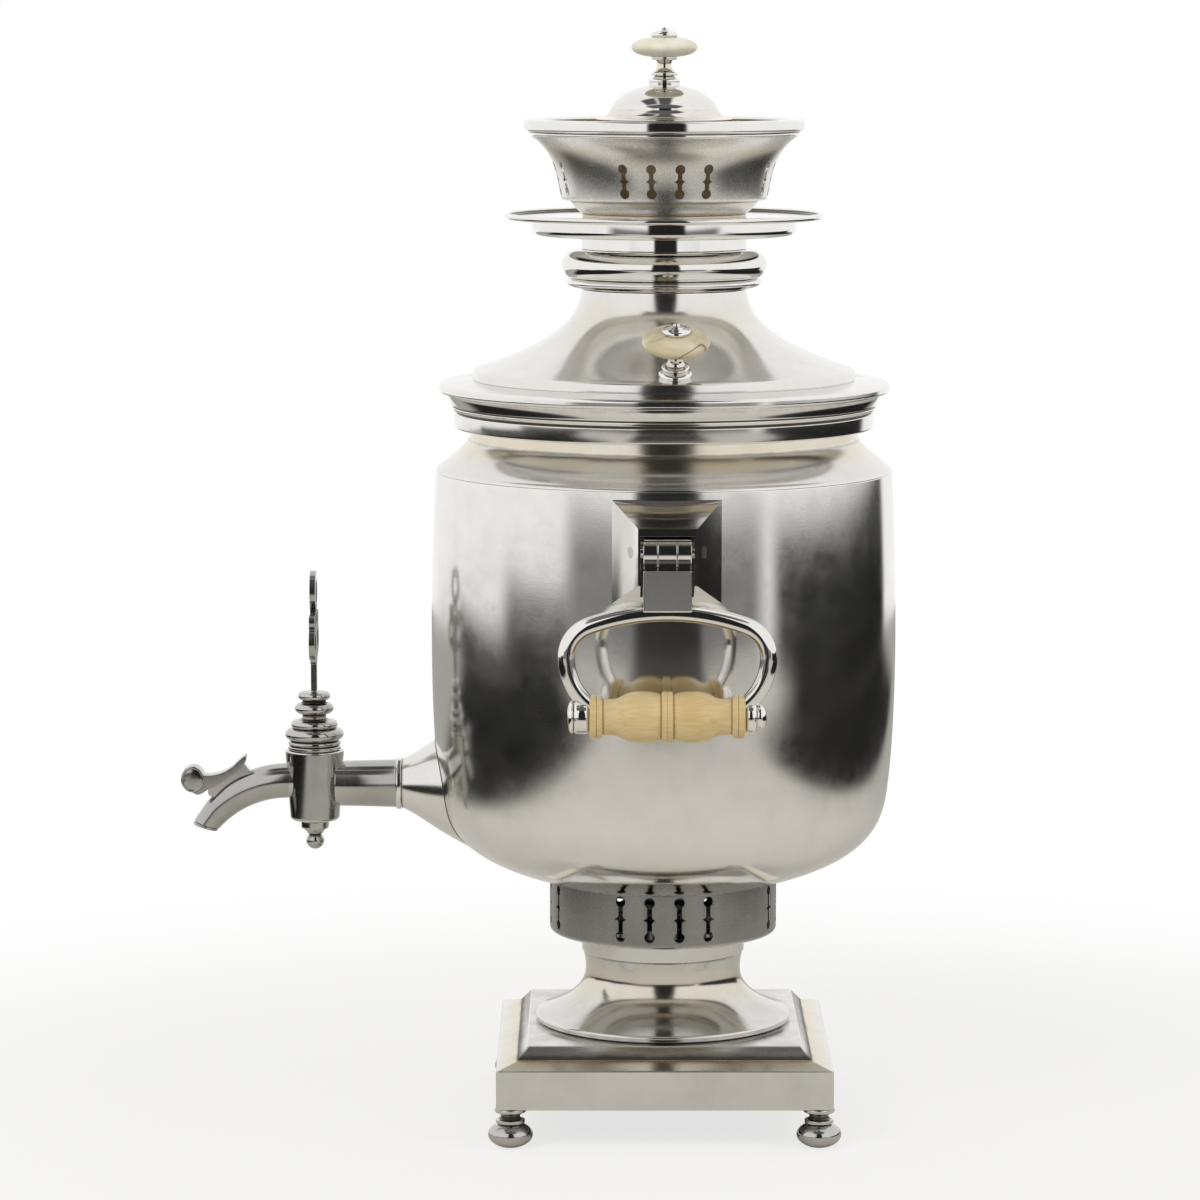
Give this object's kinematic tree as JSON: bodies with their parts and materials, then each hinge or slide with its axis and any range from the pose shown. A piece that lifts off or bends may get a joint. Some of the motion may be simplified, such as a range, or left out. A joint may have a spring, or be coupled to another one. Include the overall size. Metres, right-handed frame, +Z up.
{
  "type": "samovar",
  "caption": "Charcoal samovar: silver-plated vessel on a pedestal with ball feet, a fire tube, a plug tap, drop handles, a lift-off lid, a pierced teapot crown and a chimney cap.",
  "frame": {"origin": "on the vertical axis of the vessel, at the level of the surface the feet stand on", "axes": "+Z up along the axis of the vessel, -X along the tap pipe towards the spout, -Y towards one drop handle and +Y towards the other"},
  "size_m": [0.3292, 0.2776, 0.5015],
  "materials": {
    "silver_plate": "polished",
    "worn_silver": "gloss",
    "scaled_brass": "satin",
    "grate_iron": "matte",
    "bone": "satin",
    "boxwood": "gloss"
  },
  "bodies": {
    "samovar": {"foot_front_left": "worn_silver", "foot_front_right": "worn_silver", "foot_rear_left": "worn_silver", "foot_rear_right": "worn_silver", "foot_nuts": "worn_silver", "plinth": "silver_plate", "pedestal": "silver_plate", "vent_ring": "silver_plate", "body_bowl": "silver_plate", "body_wall": "silver_plate", "body_shoulder": "silver_plate", "top_ring": "silver_plate", "fire_tube": "scaled_brass", "grate": "grate_iron", "boss_front": "silver_plate", "boss_rear": "silver_plate", "boss_bolts_front": "worn_silver", "boss_bolts_rear": "worn_silver", "hinge_pin_front": "worn_silver", "hinge_pin_rear": "worn_silver", "tap_flange": "silver_plate", "tap_body": "worn_silver", "tap_spout": "worn_silver", "tap_lock_nut": "worn_silver"},
    "tap_valve": {"tap_plug": "worn_silver", "tap_key": "worn_silver", "tap_washer": "worn_silver", "tap_nut": "worn_silver"},
    "handle_front": {"loop_front": "silver_plate", "grip_rod_front": "worn_silver", "rod_nut_front": "worn_silver", "grip_front": "boxwood"},
    "handle_rear": {"loop_rear": "silver_plate", "grip_rod_rear": "worn_silver", "rod_nut_rear": "worn_silver", "grip_rear": "boxwood"},
    "lid": {"lid_rim": "silver_plate", "lid_cone": "silver_plate", "lid_collar": "silver_plate", "lid_knob_nuts": "worn_silver", "lid_knob_stem_front": "worn_silver", "lid_knob_stem_rear": "worn_silver", "lid_knob_disc_front": "bone", "lid_knob_disc_rear": "bone", "lid_knob_cap_front": "worn_silver", "lid_knob_cap_rear": "worn_silver"},
    "crown": {"crown_sleeve": "silver_plate", "crown_skirt": "silver_plate", "crown_plate": "silver_plate", "crown_gallery": "silver_plate", "crown_rim": "silver_plate"},
    "cap": {"chimney_cap": "silver_plate", "cap_knob_stem": "worn_silver", "cap_knob_disc": "bone", "cap_knob_cap": "worn_silver", "cap_knob_nut": "worn_silver"}
  },
  "joints": [
    {"name": "tap_turn", "type": "hinge", "parent": "samovar", "child": "tap_valve", "pos_m": [-0.161, 0, 0.1546], "axis": [0, 0, 1], "continuous": true},
    {"name": "handle_front_swing", "type": "hinge", "parent": "samovar", "child": "handle_front", "pos_m": [0, -0.121, 0.276], "axis": [-1, 0, 0], "range_deg": [0, 85]},
    {"name": "handle_rear_swing", "type": "hinge", "parent": "samovar", "child": "handle_rear", "pos_m": [0, 0.121, 0.276], "axis": [1, 0, 0], "range_deg": [0, 85]},
    {"name": "lid_lift", "type": "slide", "parent": "samovar", "child": "lid", "axis": [0, 0, 1], "range_m": [0, 0.16]},
    {"name": "crown_lift", "type": "slide", "parent": "lid", "child": "crown", "axis": [0, 0, 1], "range_m": [0, 0.08]},
    {"name": "cap_lift", "type": "slide", "parent": "samovar", "child": "cap", "axis": [0, 0, 1], "range_m": [0, 0.06]}
  ]
}
